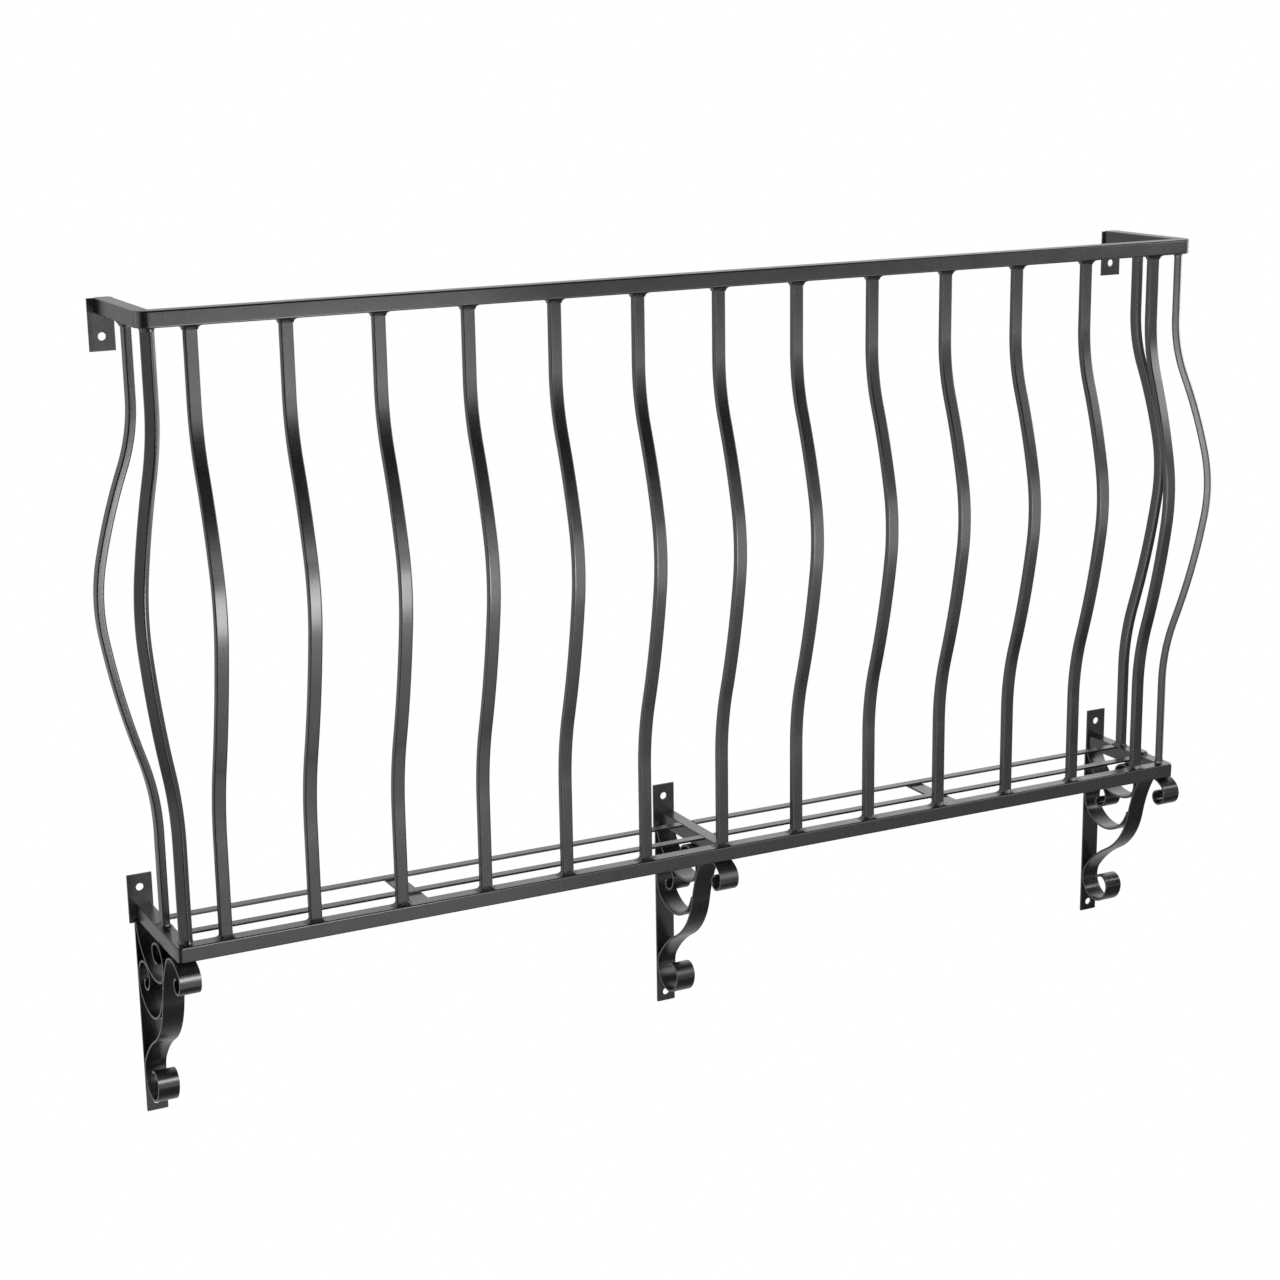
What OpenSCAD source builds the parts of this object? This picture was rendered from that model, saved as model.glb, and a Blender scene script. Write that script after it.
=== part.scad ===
// Juliet balcony: a shallow belly railing with scroll brackets that hangs on
// the wall in front of a tall window. Origin on the wall plane, in the middle,
// level with the top of the floor frame; +X along the wall, -Y away from it, +Z up.

/* [Frame] */
// Width over the side rails
balcony_w = 1504; // [1300:1:1900]
// Top of the handrail above the floor frame
rail_top = 762; // [640:1:1050]
// Distance from the wall to the front of the rails
balcony_d = 179.5; // [155:0.5:240]
// Side of the square rail tube
rail_s = 20; // [16:0.5:25]
// Outer radius of the two front corners of each frame
corner_r = 8; // [5:0.5:12]
// Sideways offset of the middle floor rail from the centre
mid_rail_x = 4; // [0:0.5:6]

/* [Bars] */
// Width of a railing bar along the rail
bar_w = 16; // [12:0.5:18]
// Thickness of a railing bar
bar_t = 10; // [8:0.5:14]
// Distance from the frame's end to the first front bar's centre
end_gap = 64; // [50:1:80]
// Distance from the wall to the left side bar
left_bar_d = 97; // [60:1:110]
// Distance from the wall to the right side bar
right_bar_d = 68; // [60:1:110]
// Share of the straight length that is above the belly
top_share = 0.42; // [0.3:0.01:0.6]

/* [Belly] */
// Slope of the bar below the upper bend, from upright
top_a = 21.1; // [18:0.1:24]
// Slope where the upper flank meets the belly
high_a = 12.6; // [8:0.1:15]
// Slope where the belly meets the lower flank
low_a = 8.7; // [6:0.1:12]
// Slope of the bar above the foot bend
foot_a = 17.4; // [15:0.1:20]
// Radius of the upper bend
top_bend_r = 228; // [190:1:270]
// Radius of the long upper flank
high_flank_r = 749; // [620:1:850]
// Radius of the belly itself
belly_r = 250; // [200:1:300]
// Radius of the long lower flank
low_flank_r = 1055; // [900:1:1200]

/* [Collars] */
// Length of a bar's collar along the rail
collar_w = 32; // [24:0.5:36]
// Height of a collar
collar_h = 5; // [3:0.5:7]
// Width of the smaller collars on the corner bars
corner_collar_w = 21; // [20:0.5:26]
// Distance from the wall to the blank collar on the right floor rail
blank_collar_d = 117; // [105:1:125]

/* [Wall tabs] */
// Width of a wall tab
tab_w = 32; // [26:0.5:38]
// Height of an upper tab
tab_h = 63.5; // [50:0.5:80]
// Thickness of the tabs and of the brackets' back straps
tab_t = 3; // [2:0.5:5]
// Distance from the frame's end to a tab's centre
tab_in = 7; // [6:0.5:10]
// Drop of the upper tabs below the handrail's top
tab_drop = 1; // [0:0.5:3]
// Rise of the lower tabs above the floor frame
tab_rise = 39.5; // [34:0.5:44]
// Reach of the lower tabs below the floor frame
tab_reach = 4; // [2:0.5:8]
// Diameter of the screw holes
hole_d = 10; // [6:0.5:11]
// Distance from a tab's free end to its hole
tab_hole = 17.5; // [12:0.5:20]

/* [Floor] */
// Width of a floor slat
slat_w = 13; // [10:0.5:20]
// Thickness of the slats and cross ties
slat_t = 3; // [2:0.5:5]
// Distance from the wall to the rear slat's back edge
rear_slat_d = 56.7; // [45:0.1:60]
// Distance between the two slats
slat_gap = 49; // [35:0.5:55]
// Width of a cross tie
tie_w = 23; // [16:0.5:30]
// Distance from the middle to the left tie
left_tie_x = 429; // [350:1:450]
// Distance from the middle to the right tie
right_tie_x = 374; // [350:1:450]

/* [Brackets] */
// Distance from the frame's end to an outer bracket's centre
bracket_in = 11; // [10:0.5:14]
// Width of the scroll bar and of the back strap
scroll_w = 27.5; // [22:0.5:30]
// Thickness of the scroll bar
scroll_t = 3; // [2.5:0.5:3.5]
// Distance from the rails' front to the line where an S-scroll meets the frame
crown_in = 24.2; // [20:0.1:30]
// Length of the back strap below the S-scroll
strap_tail = 28.8; // [24:0.1:50]
// Distance from the strap's lower end to its hole
strap_hole = 13; // [9:0.5:16]

/* [Hidden] */

steel = [0.24, 0.24, 0.26];
rail_r = 2;
bar_n = 13;
half_w = balcony_w / 2;
rail_y = -(balcony_d - rail_s / 2);
side_x = half_w - rail_s / 2;
rail_under = rail_top - rail_s;
bar_pitch = (balcony_w - 2 * end_gap) / (bar_n - 1);
corner_in = 15.5;
corner_x = half_w - corner_in;
corner_y = -(balcony_d - corner_in);
tab_x = half_w - tab_in;
bracket_x = half_w - bracket_in;
strap_top = -rail_s - tab_reach;

// The foot bend's radius brings the bar back to the line that it left at the top
bulge = belly_r * (1 - cos(high_a)) + high_flank_r * (cos(high_a) - cos(top_a))
    + top_bend_r * (1 - cos(top_a));
foot_bend_r = (bulge - belly_r * (1 - cos(low_a)) - low_flank_r * (cos(low_a) - cos(foot_a)))
    / (1 - cos(foot_a));
bow_h = foot_bend_r * sin(foot_a) + low_flank_r * (sin(foot_a) - sin(low_a))
    + belly_r * (sin(low_a) + sin(high_a))
    + high_flank_r * (sin(top_a) - sin(high_a)) + top_bend_r * sin(top_a);
straight_l = rail_under - bow_h;

// A bent bar is a list of [radius, turn in degrees] that starts at its foot and heads up;
// a positive turn leans outward, and a radius of 0 is a straight length in mm
bar_path = [
    [0, (1 - top_share) * straight_l],
    [foot_bend_r, foot_a], [low_flank_r, low_a - foot_a], [belly_r, -low_a - high_a],
    [high_flank_r, high_a - top_a], [top_bend_r, top_a],
    [0, top_share * straight_l],
];

// The scrolls, with the same kind of list. All lengths in them, and in the starts, are for a
// crown 150.6 mm in front of the strap's scroll line, and grow with the balcony's depth by scroll_k.
// The S-scroll is drawn both ways from its crown, where it meets the frame
scroll_gap = 0.17;
scroll_y = -tab_t - scroll_t / 2 - scroll_gap;
scroll_z = -rail_s - scroll_t / 2;
scroll_k = (balcony_d - crown_in + scroll_y) / 150.6;
s_down_path = [[26.9, 59.2], [195.8, 19.3], [102.8, -49.2], [152.6, 24], [29, 211.3], [14.8, 144.4]];
s_curl_path = [[47.4, -33.3], [16.6, -133.8], [9.5, -201.9]];
s_drop = 231.7;
upper_scroll_path = [[0, 1.9], [79, 85.9], [24.7, 200.4], [12.2, 177.6]];
lower_scroll_path = [[6.1, 176.5], [17.1, 166.9], [29.6, 153.2], [57.3, 111.4]];
strap_end = scroll_z - s_drop * scroll_k - strap_tail;

// ---- building blocks -------------------------------------------------------

module rail_section() {
    square([rail_s - 2 * rail_r, rail_s], center = true);
    square([rail_s, rail_s - 2 * rail_r], center = true);
    for (sx = [-1, 1], sy = [-1, 1])
        translate([sx * (rail_s / 2 - rail_r), sy * (rail_s / 2 - rail_r)])
            circle(r = rail_r, $fn = 24);
}

// Steps in an arc whose chords stay within bend_tol of it
bend_tol = 0.04;
function arc_steps(r, turn) = ceil(abs(turn) / (acos(1 - bend_tol / r) * 2));

// Points [y, z, heading] along a bent path; the heading turns from +Z towards +Y
function stations(path, y, z, h, i = 0) =
    i == len(path) ? [[y, z, h]] :
    let (r = path[i][0], turn = path[i][1], side = sign(turn))
    r == 0 ? concat([[y, z, h]], stations(path, y + turn * sin(h), z + turn * cos(h), h, i + 1)) :
    let (n = arc_steps(r, turn))
    concat(
        [for (k = [0:n - 1]) let (g = h + turn * k / n)
            [y + side * r * (cos(h) - cos(g)), z + side * r * (sin(g) - sin(h)), g]],
        stations(path, y + side * r * (cos(h) - cos(h + turn)),
            z + side * r * (sin(h + turn) - sin(h)), h + turn, i + 1)
    );

// The same points from the other end
function reversed(points) = [for (i = [len(points) - 1:-1:0])
    [points[i][0], points[i][1], points[i][2] + 180]];

// Flat bar of thickness t and width w, bent along the points, standing across X
module bent_bar(points, w, t) {
    near_side = [for (p = points) [p[0] + t / 2 * cos(p[2]), p[1] - t / 2 * sin(p[2])]];
    far_side = [for (p = reversed(points)) [p[0] + t / 2 * cos(p[2]), p[1] - t / 2 * sin(p[2])]];
    rotate([90, 0, 90]) linear_extrude(w, center = true) polygon(concat(near_side, far_side));
}

// A rail along +X from the origin, centred on its own axis
module rail(length) rotate([90, 0, 90]) linear_extrude(length) rail_section();

// ---- rails -----------------------------------------------------------------

// The outer part of a front corner: a quarter turn about the corner's centre
module rail_corner() {
    rotate_extrude(angle = 90, $fn = 96) {
        translate([0, -rail_s / 2]) square([corner_r - rail_r, rail_s]);
        translate([0, -rail_s / 2 + rail_r]) square([corner_r, rail_s - 2 * rail_r]);
        for (sy = [-1, 1]) translate([corner_r - rail_r, sy * (rail_s / 2 - rail_r)])
            circle(r = rail_r, $fn = 24);
    }
}

module front_rail(z) color(steel) translate([0, 0, z]) {
    translate([corner_r - half_w, rail_y, 0]) rail(balcony_w - 2 * corner_r);
    for (side = [-1, 1]) {
        translate([side * (half_w - corner_r), corner_r - balcony_d, 0])
            rotate(side > 0 ? -90 : 180) rail_corner();
        translate([side * side_x, corner_r - balcony_d, 0]) rotate(90) rail(rail_s - corner_r);
    }
}

module cross_rail(x, z) color(steel)
    translate([x, rail_s - balcony_d, z]) rotate(90) rail(balcony_d - rail_s - tab_t);

// ---- wall tabs -------------------------------------------------------------

// A flat plate against the wall, from z = 0 up, with one hole
module drilled_plate(w, h, hole_z) difference() {
    translate([-w / 2, -tab_t, 0]) cube([w, tab_t, h]);
    translate([0, 1, hole_z]) rotate([90, 0, 0]) cylinder(d = hole_d, h = tab_t + 2, $fn = 48);
}

module upper_tab(side) color(steel)
    translate([side * tab_x, 0, rail_top - tab_drop - tab_h]) drilled_plate(tab_w, tab_h, tab_hole);

module lower_tab(side) color(steel) translate([side * tab_x, 0, strap_top])
    drilled_plate(tab_w, tab_rise - strap_top, tab_rise - strap_top - tab_hole);

// ---- bars and collars ------------------------------------------------------

// A bar at [x, y] whose belly leans out in the direction of angle a
module bar(x, y, a) color(steel) translate([x, y, 0]) rotate(a - 90)
    bent_bar(stations(bar_path, 0, 0, 0), bar_w, bar_t);

module front_bar(i) bar((i - (bar_n + 1) / 2) * bar_pitch, rail_y, -90);

module corner_bar(side) bar(side * corner_x, corner_y, -90 + side * 45);

module side_bar(side, d) bar(side * side_x, -d, side > 0 ? 0 : 180);

// A flared collar that stands on z = 0, as deep as the rail allows
module collar_body(length, depth) intersection() {
    rotate_extrude($fn = 64) polygon([
        [0, 0], [length / 2, 0],
        [(length + bar_w + 3) / 4 - 1, 0.36 * collar_h],
        [bar_w / 2 + 1.5, collar_h], [0, collar_h],
    ]);
    translate([-length / 2, -depth / 2, 0]) cube([length, depth, collar_h]);
}

// The same with the bar's hole through it
module collar(length, depth) difference() {
    collar_body(length, depth);
    translate([-bar_w / 2, -bar_t / 2, -1]) cube([bar_w, bar_t, collar_h + 2]);
}

// One collar for every bar end, all standing on z = 0
module collars() color(steel) {
    for (i = [1:bar_n]) translate([(i - (bar_n + 1) / 2) * bar_pitch, rail_y, 0])
        collar(collar_w, rail_s - 1);
    translate([-side_x, -left_bar_d, 0]) rotate(90) collar(collar_w, rail_s - 1);
    translate([side_x, -right_bar_d, 0]) rotate(90) collar(collar_w, rail_s - 1);
    for (side = [-1, 1]) translate([side * corner_x, corner_y, 0]) rotate(side * 45)
        collar(corner_collar_w, bar_t + 3);
}

// The right floor rail also has a collar with no bar in it
module lower_collars() {
    collars();
    color(steel) translate([side_x, -blank_collar_d, 0]) rotate(90)
        collar_body(collar_w, rail_s - 1);
}

module upper_collars() translate([0, 0, rail_under]) mirror([0, 0, 1]) collars();

// ---- floor -----------------------------------------------------------------

inner_x = half_w - rail_s;

module slat_pair(y) {
    translate([-inner_x, y - slat_w, -slat_t])
        cube([inner_x + mid_rail_x - rail_s / 2, slat_w, slat_t]);
    translate([mid_rail_x + rail_s / 2, y - slat_w, -slat_t])
        cube([inner_x - mid_rail_x - rail_s / 2, slat_w, slat_t]);
}

module floor_slats() color(steel) {
    slat_pair(-rear_slat_d);
    slat_pair(-rear_slat_d - slat_w - slat_gap);
}

module cross_ties() color(steel)
    for (x = [-left_tie_x, right_tie_x])
        translate([x - tie_w / 2, rail_s - balcony_d, -2 * slat_t])
            cube([tie_w, balcony_d - rail_s - rear_slat_d, slat_t]);

// ---- scroll brackets -------------------------------------------------------

// The path with its lengths, but not its turns, times scroll_k
function grown(path) = [for (p = path) p[0] == 0 ? [0, p[1] * scroll_k] : [p[0] * scroll_k, p[1]]];

// Stations of a scroll that starts y in front of the scroll line and z below it, with heading h
function scroll_line(path, y, z, h) =
    stations(grown(path), scroll_y - y * scroll_k, scroll_z - z * scroll_k, h);

module scroll(points) color(steel) bent_bar(points, scroll_w, scroll_t);

module back_strap() color(steel)
    translate([0, 0, strap_end]) drilled_plate(scroll_w, strap_top - strap_end, strap_hole);

module s_scroll() {
    curl = scroll_line(s_curl_path, 150.6, 0, -90);
    down = scroll_line(s_down_path, 150.6, 0, 90);
    scroll(concat([for (i = [len(curl) - 1:-1:1]) [curl[i][0], curl[i][1], curl[i][2] + 180]], down));
}

module upper_scroll() scroll(scroll_line(upper_scroll_path, 0.2, -0.8, 200.8));

module lower_scroll() scroll(scroll_line(lower_scroll_path, 31.8, 67.5, 94.3));

// ---- the balcony -----------------------------------------------------------

front_rail(rail_top - rail_s / 2);  // top_front_rail
cross_rail(-side_x, rail_top - rail_s / 2);  // top_left_return
cross_rail(side_x, rail_top - rail_s / 2);  // top_right_return
front_rail(-rail_s / 2);  // bottom_front_rail
cross_rail(-side_x, -rail_s / 2);  // bottom_left_rail
cross_rail(side_x, -rail_s / 2);  // bottom_right_rail
cross_rail(mid_rail_x, -rail_s / 2);  // bottom_middle_rail
upper_tab(-1);  // top_left_tab
upper_tab(1);  // top_right_tab
lower_tab(-1);  // bottom_left_tab
lower_tab(0);  // bottom_middle_tab
lower_tab(1);  // bottom_right_tab
front_bar(1);  // front_bar_1
front_bar(2);  // front_bar_2
front_bar(3);  // front_bar_3
front_bar(4);  // front_bar_4
front_bar(5);  // front_bar_5
front_bar(6);  // front_bar_6
front_bar(7);  // front_bar_7
front_bar(8);  // front_bar_8
front_bar(9);  // front_bar_9
front_bar(10);  // front_bar_10
front_bar(11);  // front_bar_11
front_bar(12);  // front_bar_12
front_bar(13);  // front_bar_13
corner_bar(-1);  // left_corner_bar
corner_bar(1);  // right_corner_bar
side_bar(-1, left_bar_d);  // left_side_bar
side_bar(1, right_bar_d);  // right_side_bar
upper_collars();
lower_collars();
floor_slats();
cross_ties();
translate([-bracket_x, 0, 0]) back_strap();  // left_back_strap
translate([-bracket_x, 0, 0]) s_scroll();  // left_s_scroll
translate([-bracket_x, 0, 0]) upper_scroll();  // left_upper_scroll
translate([-bracket_x, 0, 0]) lower_scroll();  // left_lower_scroll
back_strap();  // middle_back_strap
s_scroll();  // middle_s_scroll
upper_scroll();  // middle_upper_scroll
lower_scroll();  // middle_lower_scroll
translate([bracket_x, 0, 0]) back_strap();  // right_back_strap
translate([bracket_x, 0, 0]) s_scroll();  // right_s_scroll
translate([bracket_x, 0, 0]) upper_scroll();  // right_upper_scroll
translate([bracket_x, 0, 0]) lower_scroll();  // right_lower_scroll
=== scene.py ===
# %% [markdown]
# # A juliet balcony in black powder-coated steel
#
# The real thing is a shallow railing that hangs on the wall outside a tall window. Square tube
# makes the handrail and the floor frame, bellied flat bars join them, and three scroll brackets
# carry the floor frame. The CAD model already has every piece in its true place, so this lesson
# adds what it leaves out: rounded edges, smoother bends and collars, the coating, and the light
# that makes a dark semi-gloss surface readable.

# %% Load the CAD model
import math

import bpy
from mathutils import Matrix, Vector


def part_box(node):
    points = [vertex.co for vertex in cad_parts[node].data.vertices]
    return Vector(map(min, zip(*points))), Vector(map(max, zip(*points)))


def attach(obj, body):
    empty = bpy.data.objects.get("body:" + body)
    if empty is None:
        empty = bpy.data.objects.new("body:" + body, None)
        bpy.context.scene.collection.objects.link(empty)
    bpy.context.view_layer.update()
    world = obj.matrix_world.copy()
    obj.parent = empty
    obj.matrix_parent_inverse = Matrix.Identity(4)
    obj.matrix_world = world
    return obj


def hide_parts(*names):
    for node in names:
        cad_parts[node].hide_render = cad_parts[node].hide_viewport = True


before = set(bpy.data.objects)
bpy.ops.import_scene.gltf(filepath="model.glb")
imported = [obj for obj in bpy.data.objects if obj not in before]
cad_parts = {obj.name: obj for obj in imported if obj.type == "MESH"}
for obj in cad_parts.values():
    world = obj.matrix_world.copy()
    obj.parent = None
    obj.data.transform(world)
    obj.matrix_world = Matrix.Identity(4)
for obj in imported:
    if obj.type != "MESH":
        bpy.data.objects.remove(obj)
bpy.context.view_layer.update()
MM = 0.001
SHARP = math.radians(40)

# %% [markdown]
# ## The camera
#
# The balcony is looked at from its left front and from a little above the handrail, as a
# catalogue would show it. A long lens keeps the uprights nearly parallel. The camera's turn is
# given as three angles in degrees: how far it looks round to the right, how far it looks down,
# and how far it leans.

# %% Camera


def place_camera(place, look_right, look_down, lean, lens):
    """A camera at `place` in metres, with no shift and no depth of field."""
    data = bpy.data.cameras.new("studio_camera")
    data.lens, data.sensor_width, data.clip_end = lens, 36.0, 100.0
    camera = bpy.data.objects.new("studio_camera", data)
    turn = (Matrix.Rotation(-math.radians(look_right), 4, "Z")
            @ Matrix.Rotation(math.radians(90 - look_down), 4, "X")
            @ Matrix.Rotation(math.radians(lean), 4, "Z"))
    camera.matrix_world = Matrix.Translation(place) @ turn
    bpy.context.scene.collection.objects.link(camera)
    return camera


camera = place_camera((-1.5148, -2.9023, 1.0812), 27.065, 14.319, -0.871, 69.38)
bpy.context.scene.camera = camera
print("camera looks along", [round(v, 3) for v in camera.matrix_world.to_3x3() @ Vector((0, 0, -1))])

# %% [markdown]
# ## Colours
#
# Paint colours are written as the hex values a colour card gives. Those are sRGB, and a shader
# wants linear light, so one function turns them.

# %% From sRGB hex to linear


def linear(hex_colour):
    """Linear RGBA for an sRGB hex string such as "2a2a2c"."""
    values = [int(hex_colour[i:i + 2], 16) / 255 for i in (0, 2, 4)]
    return tuple(v / 12.92 if v <= 0.04045 else ((v + 0.055) / 1.055) ** 2.4
                 for v in values) + (1.0,)


def add_node(tree, kind, links=(), **settings):
    """Add a node, set its sockets and properties by name, and link inputs by name or number."""
    node = tree.nodes.new(kind)
    for key, value in settings.items():
        socket = node.inputs.get(key.replace("_", " ")) if key[0].isupper() else None
        if socket is not None:
            socket.default_value = value
        else:
            setattr(node, key, value)
    for name, source in links:
        tree.links.new(source, node.inputs[name])
    return node


# %% [markdown]
# ## The coating
#
# The steel is powder coated: dry paint is blown on and baked, and it flows into a tough skin. To
# the eye that gives a black with almost no light of its own, a semi-gloss shine without any metal
# in it (a plastic skin, IOR 1.5), and a fine skin like an orange's, because the powder never
# levels out fully. That skin is about 1 mm from bump to bump on the real thing. It is drawn at
# 1.4 mm, because finer would not show. A second, slower unevenness 45 mm across is where the
# coat went on thicker or thinner, and it changes the shine a little from place to place.

# %% Powder-coated steel


def powder_coated_steel(name, body_hex, fleck_hex, roughness):
    """Semi-gloss powder coat: flecked black, uneven shine and a fine orange-peel skin."""
    material = bpy.data.materials.new(name)
    material.use_nodes = True
    tree = material.node_tree
    tree.nodes.clear()
    place = add_node(tree, "ShaderNodeTexCoord").outputs["Object"]
    peel = add_node(tree, "ShaderNodeTexNoise", [("Vector", place)],
                    Scale=1 / (1.4 * MM), Detail=2.0, Roughness=0.6)
    coat_depth = add_node(tree, "ShaderNodeTexNoise", [("Vector", place)],
                          Scale=1 / (45 * MM), Detail=3.0, Roughness=0.6)
    flecks = add_node(tree, "ShaderNodeValToRGB", [("Fac", peel.outputs["Fac"])])
    flecks.color_ramp.elements[0].position, flecks.color_ramp.elements[1].position = 0.45, 0.75
    flecks.color_ramp.elements[0].color = linear(body_hex)
    flecks.color_ramp.elements[1].color = linear(fleck_hex)
    shine = add_node(tree, "ShaderNodeMapRange", [("Value", coat_depth.outputs["Fac"])],
                     From_Min=0.3, From_Max=0.7, To_Min=roughness - 0.04, To_Max=roughness + 0.04)
    skin = add_node(tree, "ShaderNodeBump", [("Height", peel.outputs["Fac"])],
                    Strength=0.3, Distance=0.03 * MM)
    coat = add_node(tree, "ShaderNodeBsdfPrincipled",
                    [("Base Color", flecks.outputs["Color"]), ("Roughness", shine.outputs["Result"]),
                     ("Normal", skin.outputs["Normal"])], Metallic=0.0, IOR=1.5)
    add_node(tree, "ShaderNodeOutputMaterial", [("Surface", coat.outputs["BSDF"])])
    return material


black_coat = powder_coated_steel("black powder-coated steel", "0a0a0b", "1c1c1f", 0.26)
print("made", black_coat.name, "with", len(black_coat.node_tree.nodes), "nodes")

# %% [markdown]
# ## Bending a bar
#
# A smith bends a bar to one radius after another. The same list of bends, a radius in millimetres
# and a turn in degrees, is walked here in small steps, which gives the bar's centre line in the
# plane of the bend: y away from the wall is negative, z is up, and the heading turns from +Z
# towards +Y. A radius of 0 stands for a straight piece, whose second number is its length.

# %% Walk a list of bends


def walk_bends(bends, y, z, heading, step):
    """Points (y, z, heading) in mm and degrees, at most `step` degrees apart in a bend."""
    points = [(y, z, heading)]
    for radius, turn in bends:
        h0 = math.radians(heading)
        if radius == 0:
            y, z = y + turn * math.sin(h0), z + turn * math.cos(h0)
            points.append((y, z, heading))
            continue
        side = math.copysign(1, turn)
        count = math.ceil(abs(turn) / step)
        for k in range(1, count + 1):
            h = math.radians(heading + turn * k / count)
            points.append((y + side * radius * (math.cos(h0) - math.cos(h)),
                           z + side * radius * (math.sin(h) - math.sin(h0)), math.degrees(h)))
        y, z, heading = points[-1]
    return points


# %% [markdown]
# ## Sweeping a section along it
#
# Flat bar comes from the mill with slightly rounded edges. Those edges catch the light as one
# thin line down each bar, so they are real geometry. A bevel on a sharp bar could make them, but
# its shading would wander along a bend. Here a ring of points goes round the section, each with
# its true normal, and is carried along the centre line. True normals keep the flats flat, the
# edges round and the bends smooth with few faces.

# %% Rounded section and sweep


def rounded_section(width, thickness, radius, steps):
    """Points (u, v, nu, nv) round a flat bar: u across its width, v through its thickness."""
    ring = []
    for corner in range(4):
        cu = (width / 2 - radius) * (1, -1, -1, 1)[corner]
        cv = (thickness / 2 - radius) * (1, 1, -1, -1)[corner]
        for k in range(steps + 1):
            a = math.radians(90 * corner + 90 * k / steps)
            ring.append((cu + radius * math.cos(a), cv + radius * math.sin(a),
                         math.cos(a), math.sin(a)))
    return ring


def mesh_piece(name, verts, faces, face_normals=None):
    """A coated object from points in metres, with its own normals where they are given."""
    mesh = bpy.data.meshes.new(name)
    mesh.from_pydata(verts, [], faces)
    mesh.shade_smooth()
    if face_normals:
        mesh.normals_split_custom_set([tuple(v) for face in face_normals for v in face])
    mesh.materials.append(black_coat)
    piece = bpy.data.objects.new(name, mesh)
    bpy.context.scene.collection.objects.link(piece)
    return piece


def sweep(name, points, section, turn_deg=0.0):
    """Sweep a section along points in the YZ plane, and turn the result about Z."""
    turn = Matrix.Rotation(math.radians(turn_deg), 3, "Z")
    verts, normals = [], []
    for y, z, heading in points:
        h = math.radians(heading)
        out_y, out_z = math.cos(h), -math.sin(h)
        for u, v, nu, nv in section:
            verts.append(turn @ Vector((u, y + v * out_y, z + v * out_z)) * MM)
            normals.append(turn @ Vector((nu, nv * out_y, nv * out_z)))
    n = len(section)
    faces, face_normals = [], []
    for i in range(len(points) - 1):
        for j in range(n):
            a, b = i * n + j, i * n + (j + 1) % n
            faces.append((a, b, b + n, a + n))
            face_normals.append([normals[k] for k in faces[-1]])
    for i, first in ((0, True), (len(points) - 1, False)):
        h = math.radians(points[i][2])
        along = turn @ Vector((0, math.sin(h), math.cos(h)))
        ring = [i * n + j for j in range(n)]
        faces.append(tuple(reversed(ring)) if first else tuple(ring))
        face_normals.append([-along if first else along] * n)
    return mesh_piece(name, verts, faces, face_normals)


# %% [markdown]
# ## Standing in for a CAD piece
#
# A finished piece takes its CAD piece's part: it rides on the same body, and the CAD piece is
# hidden. The CAD piece also says where a bar is. The finished bar is moved until the middles of
# the two boxes agree, and then the size that is left over is printed, so that a wrong radius
# would show at once.

# %% Take a CAD piece's part


def stand_in(piece, node):
    """Let a piece in its final place stand for a CAD node."""
    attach(piece, "root")
    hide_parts(node)


def settle(piece, node):
    """Move a piece's mesh to its CAD node's middle, and return the mm its size is off."""
    low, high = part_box(node)
    corners = [v.co for v in piece.data.vertices]
    p_low = Vector([min(c[k] for c in corners) for k in range(3)])
    p_high = Vector([max(c[k] for c in corners) for k in range(3)])
    piece.data.transform(Matrix.Translation((low + high - p_low - p_high) / 2))
    stand_in(piece, node)
    return max(abs(d) for d in (high - low) - (p_high - p_low)) / MM


# %% [markdown]
# ## The bellied bars
#
# Each bar is 16 mm wide along the rail and 10 mm thick. From its foot it runs straight, leans
# outward, rolls over the belly just below half height, and comes back to the same upright line
# under the handrail. All seventeen bars share one shape. The front ones lean to the front, the
# corner ones at 45 degrees, and the side ones to the side. The foot bend's radius isn't chosen:
# it is whatever brings the bar back to its line.

# %% Belly bars
BAR_W, BAR_T, BAR_EDGE, TOP_SHARE = 16.0, 10.0, 2.5, 0.42
FOOT_A, LOW_A, HIGH_A, TOP_A = 17.4, 8.7, 12.6, 21.1
LOW_R, BELLY_R, HIGH_R, TOP_R = 1055, 250, 749, 228


def bar_bends(height):
    """The bends of a bar of that height, from its foot up."""
    foot, low, high, top = (math.radians(a) for a in (FOOT_A, LOW_A, HIGH_A, TOP_A))
    bulge = (BELLY_R * (1 - math.cos(high)) + HIGH_R * (math.cos(high) - math.cos(top))
             + TOP_R * (1 - math.cos(top)))
    below = BELLY_R * (1 - math.cos(low)) + LOW_R * (math.cos(low) - math.cos(foot))
    foot_r = (bulge - below) / (1 - math.cos(foot))
    bow = (foot_r * math.sin(foot) + LOW_R * (math.sin(foot) - math.sin(low))
           + BELLY_R * (math.sin(low) + math.sin(high))
           + HIGH_R * (math.sin(top) - math.sin(high)) + TOP_R * math.sin(top))
    straight = height - bow
    print("foot radius", round(foot_r, 1), "mm, straight ends", round(straight, 1), "mm together")
    return [(0, (1 - TOP_SHARE) * straight), (foot_r, FOOT_A), (LOW_R, LOW_A - FOOT_A),
            (BELLY_R, -LOW_A - HIGH_A), (HIGH_R, HIGH_A - TOP_A), (TOP_R, TOP_A),
            (0, TOP_SHARE * straight)]


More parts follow.
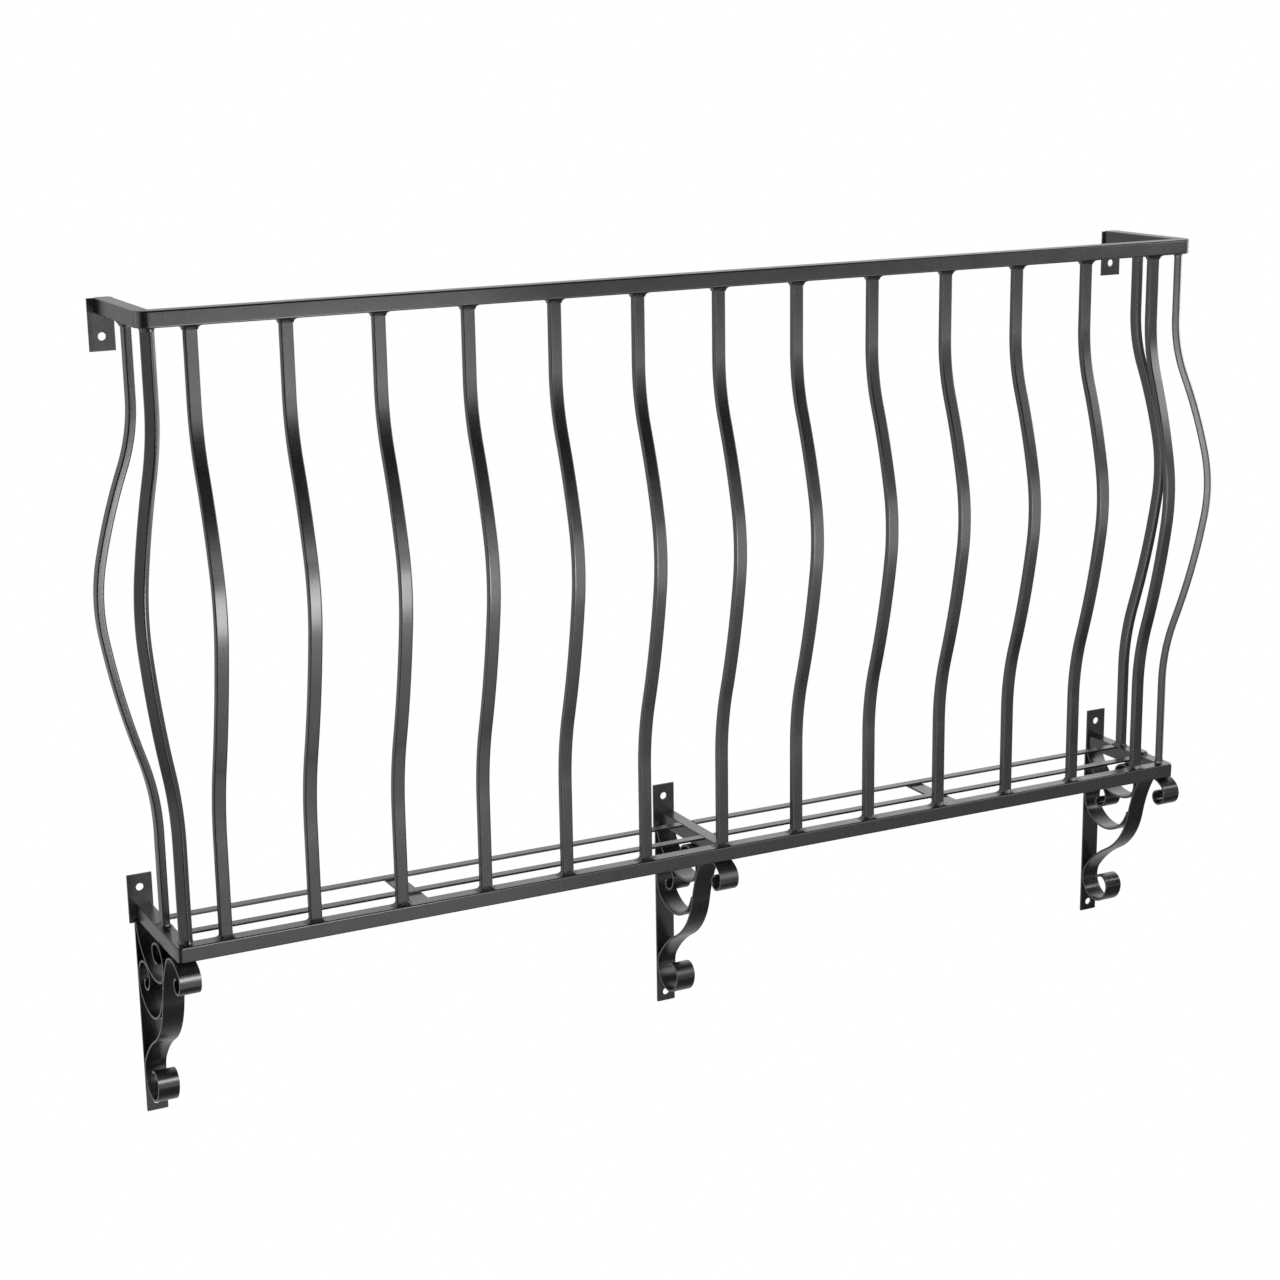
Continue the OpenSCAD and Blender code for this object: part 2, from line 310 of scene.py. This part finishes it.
low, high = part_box("front_bar_1")
bar_line = walk_bends(bar_bends((high[2] - low[2]) / MM), 0, 0, 0, step=1.0)
bar_section = rounded_section(BAR_W, BAR_T, BAR_EDGE, steps=5)
bar_turns = {f"front_bar_{i}": 180 for i in range(1, 14)}
bar_turns.update(left_side_bar=90, right_side_bar=-90, left_corner_bar=135, right_corner_bar=-135)
for node, turn_deg in bar_turns.items():
    off = settle(sweep(node + "_rounded", bar_line, bar_section, turn_deg), node)
    print(node, "is off the CAD box by", round(off, 2), "mm")

# %% [markdown]
# ## The scroll brackets
#
# Each bracket is three strips of 27.5 x 3 mm flat bar, rolled into curls at their ends: one long
# S from the frame's front down to the wall strap, and two smaller scrolls in the corner behind
# it. A strip this thin has only a small round on its edges, 0.5 mm, but it shows as a pale thread
# all along the curl.

# %% Scrolls
S_DOWN = [(26.9, 59.2), (195.8, 19.3), (102.8, -49.2), (152.6, 24), (29, 211.3), (14.8, 144.4)]
S_CURL = [(47.4, -33.3), (16.6, -133.8), (9.5, -201.9)]
UPPER_SCROLL = [(0, 1.9), (79, 85.9), (24.7, 200.4), (12.2, 177.6)]
LOWER_SCROLL = [(6.1, 176.5), (17.1, 166.9), (29.6, 153.2), (57.3, 111.4)]

s_down = walk_bends(S_DOWN, 0, 0, 90, step=4.0)
s_curl = walk_bends(S_CURL, 0, 0, -90, step=4.0)
s_line = [(y, z, heading + 180) for y, z, heading in reversed(s_curl[1:])] + s_down
scroll_lines = {
    "s_scroll": s_line,
    "upper_scroll": walk_bends(UPPER_SCROLL, 0, 0, 200.8, step=4.0),
    "lower_scroll": walk_bends(LOWER_SCROLL, 0, 0, 94.3, step=4.0),
}
scroll_section = rounded_section(27.5, 3.0, 0.5, steps=3)
for side in ("left", "middle", "right"):
    for kind, line in scroll_lines.items():
        node = f"{side}_{kind}"
        off = settle(sweep(node + "_rolled", line, scroll_section), node)
        print(node, "is off the CAD box by", round(off, 2), "mm")

# %% [markdown]
# ## The collars
#
# A little cast collar hides the weld where a bar meets a rail. Along the rail it flares out like
# the fillet of a weld, nearly flat at its tip and nearly upright at the bar, and across the rail
# it slopes straight. Its outline changes from a squared oval, nearly as deep as the rail, to one
# that fits the bar, so it is lofted: rings of points, each a mix of the two outlines.

# %% Collar loft


def oval(angle, half_long, half_deep, squareness=3.2):
    """A point on an oval: squareness 2 is an ellipse, and a larger one is squarer."""
    c, s = math.cos(angle), math.sin(angle)
    return Vector((half_long * math.copysign(abs(c) ** (2 / squareness), c),
                   half_deep * math.copysign(abs(s) ** (2 / squareness), s)))


def collar_rings(half_long, half_deep, height, lip, around=48, rings=9):
    """Rings of (x, y, z) in mm from the rail to the bar; the last is the bar plus a lip."""
    out = []
    for i in range(rings):
        t = i / (rings - 1)
        hollow, straight = math.sqrt(1 - (1 - t) ** 2), t ** 0.85
        ring = []
        for k in range(around):
            a = 2 * math.pi * k / around
            base = oval(a, half_long, half_deep)
            top = oval(a, BAR_W / 2 + lip, BAR_T / 2 + lip)
            ring.append((base.x + (top.x - base.x) * hollow,
                         base.y + (top.y - base.y) * straight, height * t))
        out.append(ring)
    return out


def add_collar(verts, faces, rings, place, turn_deg, flip):
    """Append one collar, turned about Z at `place`; `flip` hangs it upside down."""
    turn = Matrix.Rotation(math.radians(turn_deg), 3, "Z")
    n, start = len(rings[0]), len(verts)
    for ring in rings:
        for x, y, z in ring:
            verts.append(turn @ Vector((x, y, -z if flip else z)) * MM + place)
    new = [tuple(reversed(range(n))), tuple((len(rings) - 1) * n + k for k in range(n))]
    for i in range(len(rings) - 1):
        for k in range(n):
            a, b = i * n + k, i * n + (k + 1) % n
            new.append((a, b, b + n, a + n))
    faces += [tuple(start + v for v in (reversed(f) if flip else f)) for f in new]


# %% [markdown]
# Every bar has a collar at its foot and one under the handrail, and the right floor rail has one
# more, with no bar in it. The corner collars are smaller, so that they stay on the rails' corner.
# A bar's CAD box tells where the bar stands: its belly widens the box on the outer side only, so
# the bar's own half size is measured in from the box's inner side.

# %% Where each bar stands


def bar_stand(bar, turn_deg):
    """The (x, y) in metres of the middle of a bar's foot, and so of its head."""
    low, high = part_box(bar)
    on_corner = abs(turn_deg) == 135
    half = ((BAR_W + BAR_T) / 2 * math.sqrt(0.5) if on_corner else BAR_T / 2) * MM
    x, y = (low[0] + high[0]) / 2, (low[1] + high[1]) / 2
    if abs(turn_deg) > 90:
        y = high[1] - half
    if turn_deg in (90, 135):
        x = high[0] - half
    if turn_deg in (-90, -135):
        x = low[0] + half
    return x, y


stands = {bar: bar_stand(bar, turn_deg) for bar, turn_deg in bar_turns.items()}
print("the left corner bar stands at", [round(v / MM, 1) for v in stands["left_corner_bar"]], "mm")

# %% All collars
COLLAR_H, BLANK_FROM_WALL = 5.0, 117.0
rail_collars = {"lower_collars": collar_rings(16, 9.5, COLLAR_H, lip=0.5),
                "upper_collars": collar_rings(16, 9.5, COLLAR_H, lip=1.5)}
corner_collar = collar_rings(10.5, 6.5, COLLAR_H, lip=0.5)
foot_z, head_z = (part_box("front_bar_1")[k][2] for k in (0, 1))
blank = Vector((stands["right_side_bar"][0], -BLANK_FROM_WALL * MM, foot_z))
for node, z, flip in (("lower_collars", foot_z, False), ("upper_collars", head_z, True)):
    verts, faces = [], []
    for bar, turn_deg in bar_turns.items():
        shape = corner_collar if abs(turn_deg) == 135 else rail_collars[node]
        add_collar(verts, faces, shape, Vector((*stands[bar], z)), turn_deg, flip)
    if node == "lower_collars":
        add_collar(verts, faces, rail_collars[node], blank, 90, flip)
    piece = mesh_piece(node + "_flared", verts, faces)
    piece.data.set_sharp_from_angle(angle=SHARP)
    stand_in(piece, node)
    low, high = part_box(node)
    print(node, "CAD", [round(v, 4) for v in (*low, *high)])
    print(node, "loft", [round(f(v[k] for v in verts), 4) for f in (min, max) for k in range(3)])

# %% [markdown]
# ## The front rails
#
# The handrail's front tube is bent round both ends in a tight but soft bend, and the floor
# frame's is cut and welded there, which leaves a smaller round. A tube this square is quickest
# as an outline seen from above, raised to the tube's height. A bevel then rounds its long edges
# by 2.2 mm. The bevel is told by a weight which edges to round, so that the two ends, where the
# side rails are welded on, stay flat.

# %% Front rails


def rail_outline(low, high, outer_r, steps=10):
    """Points (x, y) in metres round a front rail seen from above, its front corners rounded."""
    side = high[1] - low[1]
    points = [(high[0], high[1]), (high[0] - side, high[1]),
              (low[0] + side, high[1]), (low[0], high[1])]
    for centre_x, start in ((low[0] + outer_r, 180), (high[0] - outer_r, 270)):
        for k in range(steps + 1):
            a = math.radians(start + 90 * k / steps)
            points.append((centre_x + outer_r * math.cos(a),
                           low[1] + outer_r + outer_r * math.sin(a)))
    return points


def front_rail(node, outer_r_mm, edge_mm):
    """A prism on the rail's outline, with its long edges rounded by a weighted bevel."""
    low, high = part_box(node)
    outline = rail_outline(low, high, outer_r_mm * MM)
    n = len(outline)
    verts = [(x, y, z) for z in (low[2], high[2]) for x, y in outline]
    faces = [tuple(reversed(range(n))), tuple(range(n, 2 * n))]
    faces += [((k + 1) % n, (k + 1) % n + n, k + n, k) for k in range(n)]
    piece = mesh_piece(node + "_tube", verts, faces)
    mesh = piece.data
    mesh.set_sharp_from_angle(angle=SHARP)
    weights = mesh.attributes.new("bevel_weight_edge", "FLOAT", "EDGE")
    flat_ends = {(0, 1), (2, 3)}
    for edge in mesh.edges:
        a, b = sorted(v % n for v in edge.vertices)
        level = abs(edge.vertices[0] - edge.vertices[1]) != n
        weights.data[edge.index].value = 1.0 if level and (a, b) not in flat_ends else 0.0
    rounding = piece.modifiers.new("rounded_edge", "BEVEL")
    rounding.width, rounding.segments = edge_mm * MM, 4
    rounding.limit_method, rounding.harden_normals = "WEIGHT", True
    rounding.use_clamp_overlap = False
    stand_in(piece, node)
    print(node, "corner radius", outer_r_mm, "mm, size",
          [round(d / MM, 1) for d in high - low], "mm")


front_rail("top_front_rail", 18, 2.2)
front_rail("bottom_front_rail", 8, 2.2)

# %% [markdown]
# ## Plates, ties and side rails
#
# The side rails, tabs, straps, slats and ties keep their CAD shape. All but the rails also get a
# fine broken edge of 0.5 mm from a bevel modifier, since a coat never leaves an edge dead sharp.
# The points are welded first, because a bevel needs faces that share their edges.

# %% Break the edges and coat every piece
PLATES = ("tab", "strap", "slats", "ties")
for name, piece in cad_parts.items():
    piece.data.materials.clear()
    piece.data.materials.append(black_coat)
    if name.endswith(PLATES):
        weld = piece.modifiers.new("weld", "WELD")
        weld.merge_threshold = 0.01 * MM
        edge = piece.modifiers.new("broken_edge", "BEVEL")
        edge.width, edge.segments = 0.5 * MM, 2
        edge.limit_method, edge.angle_limit, edge.harden_normals = "ANGLE", SHARP, True
        print(name, "edges broken by", round(edge.width / MM, 2), "mm")

# %% [markdown]
# ## The studio
#
# A black, shiny object shows its surroundings more than its own colour. So the light is planned
# as what each face mirrors. A white surrounding behind turns the slats, the rail tops and the
# left-hand faces grey. The room in front is dark, with a low window of light close by, which
# runs down the lower half of the bars and breaks off in a bright spot on each belly. A second,
# higher one to the right does the same for the far end. The floor is white and only the eye
# sees it: it sends no light up, so that it can't wash out the undersides.

# %% Floor


def white_floor(height, half_size):
    """A plain white floor far below, as under an upstairs window, lit evenly from inside."""
    h = half_size
    mesh = bpy.data.meshes.new("studio_floor")
    mesh.from_pydata([(-h, -h, height), (h, -h, height), (h, h, height), (-h, h, height)],
                     [], [(0, 1, 2, 3)])
    floor = bpy.data.objects.new("studio_floor", mesh)
    bpy.context.scene.collection.objects.link(floor)
    material = bpy.data.materials.new("lit white acrylic floor")
    material.use_nodes = True
    shader = material.node_tree.nodes["Principled BSDF"]
    shader.inputs["Base Color"].default_value = linear("000000")
    shader.inputs["Roughness"].default_value = 1.0
    shader.inputs["Specular IOR Level"].default_value = 0.0
    shader.inputs["Emission Color"].default_value = linear("ffffff")
    shader.inputs["Emission Strength"].default_value = 1.0
    floor.data.materials.append(material)
    floor.visible_glossy = floor.visible_diffuse = False
    return floor


floor = white_floor(height=-2.6, half_size=60)
print("floor at", round(floor.data.vertices[0].co[2], 2), "m")

# %% [markdown]
# ## The light in front
#
# Each face of a bar is a small mirror, so a spot at some height on it shows one spot of an
# upright plane close in front. The plane is filled like a window with panes: a bright core that
# the bellies show, a softer window round it that the lower bars show, a strip above it for the
# handrail, and weak low panes for the brackets. The panes grow weaker to the right, up to a
# bright one at the far end, so that the long row of bars doesn't look flat.

# %% Light panels


def light_panel(name, centre, width, height, radiance, turn_deg=0):
    """An upright soft panel facing the wall, or turned about Z; `radiance` 1 is white."""
    data = bpy.data.lights.new(name, "AREA")
    data.shape, data.size, data.size_y = "RECTANGLE", width, height
    data.energy = math.pi * width * height * radiance
    light = bpy.data.objects.new(name, data)
    light.location = centre
    light.rotation_euler = (math.radians(90), 0, math.radians(turn_deg))
    light.visible_camera = False
    bpy.context.scene.collection.objects.link(light)
    print(name, round(data.energy, 1), "W")
    return light


PANEL_Y = -0.95
# each pane's middle x and z, width and height in metres, and its radiance
panes = {
    "window_core": (-0.46, 0.25, 0.66, 0.36, 15),
    "window_foot": (-0.40, -0.02, 0.8, 0.22, 3.0),
    "window": (0.40, 0.24, 1.7, 0.64, 3.4),
    "window_top_left": (-0.45, 0.64, 0.9, 0.09, 5.5),
    "window_top_middle": (0.22, 0.63, 0.7, 0.16, 1.0),
    "window_top_right": (0.90, 0.66, 1.3, 0.22, 0.8),
    "low_band": (-0.50, -0.22, 0.9, 0.18, 1.5),
    "low_left": (-0.45, -0.46, 1.1, 0.76, 1.7),
    "low_middle": (-0.10, -0.46, 1.8, 0.76, 0.8),
    "low_right": (1.05, -0.40, 1.3, 0.3, 0.8),
    "far_end": (1.68, 0.98, 0.8, 0.46, 9),
    "far_middle": (1.37, 0.98, 1.36, 0.46, 1.3),
}
for name, (x, z, width, height, radiance) in panes.items():
    light_panel(name, (x, PANEL_Y, z), width, height, radiance)
light_panel("right_side", (2.3, 0.1, 0.6), 1.6, 1.4, 3.5, turn_deg=90)

# %% [markdown]
# ## The light around
#
# The eye sees a plain white room. The steel sees one whose brightness depends on the direction:
# darkest in front, brighter behind, brightest above and behind on the right and square on from
# the left, and faint from below. Each part is a product of smooth ramps of the direction's x, y
# or z, and the parts are added up.

# %% World
world = bpy.data.worlds.new("studio_world")
world.use_nodes = True
bpy.context.scene.world = world
tree = world.node_tree
tree.nodes.clear()
direction = add_node(tree, "ShaderNodeTexCoord").outputs["Generated"]
split = add_node(tree, "ShaderNodeSeparateXYZ", [("Vector", direction)])


def ramp(axis, start, end, low, high):
    """A smooth change from low to high as the direction's x, y or z goes from start to end."""
    return add_node(tree, "ShaderNodeMapRange", [("Value", split.outputs[axis])],
                    interpolation_type="SMOOTHSTEP", From_Min=start, From_Max=end,
                    To_Min=low, To_Max=high).outputs["Result"]


def combine(operation, a, b):
    """Two values added or multiplied."""
    return add_node(tree, "ShaderNodeMath", [(0, a), (1, b)], operation=operation).outputs[0]


behind = ramp("Y", -0.3, 0.4, 0.05, 0.55)
above_behind = combine("MULTIPLY", ramp("Z", 0.12, 0.36, 0.0, 1.0), ramp("Y", 0.0, 0.6, 0.0, 1.0))
above_behind = combine("MULTIPLY", above_behind, ramp("X", 0.1, 0.6, 0.5, 1.6))
below = ramp("Z", -0.1, -0.5, 0.0, 0.1)
left = combine("MULTIPLY", ramp("X", -0.2, -0.7, 0.0, 0.4), ramp("Y", -0.1, 0.4, 0.0, 1.0))
far_left = combine("MULTIPLY", ramp("X", -0.65, -0.95, 0.0, 1.8), ramp("Y", -0.45, -0.15, 0.0, 1.0))
left = combine("ADD", left, far_left)
strength = combine("ADD", combine("ADD", behind, above_behind), combine("ADD", below, left))
surroundings = add_node(tree, "ShaderNodeBackground", [("Strength", strength)],
                        Color=(1, 1, 1, 1))
backdrop = add_node(tree, "ShaderNodeBackground", Color=(1, 1, 1, 1), Strength=1.0)
seen = add_node(tree, "ShaderNodeLightPath")
both = add_node(tree, "ShaderNodeMixShader",
                [("Fac", seen.outputs["Is Camera Ray"]),
                 (1, surroundings.outputs["Background"]), (2, backdrop.outputs["Background"])])
add_node(tree, "ShaderNodeOutputWorld", [("Surface", both.outputs["Shader"])])
bpy.context.scene.view_settings.view_transform = "Standard"
print("world has", len(tree.nodes), "nodes")
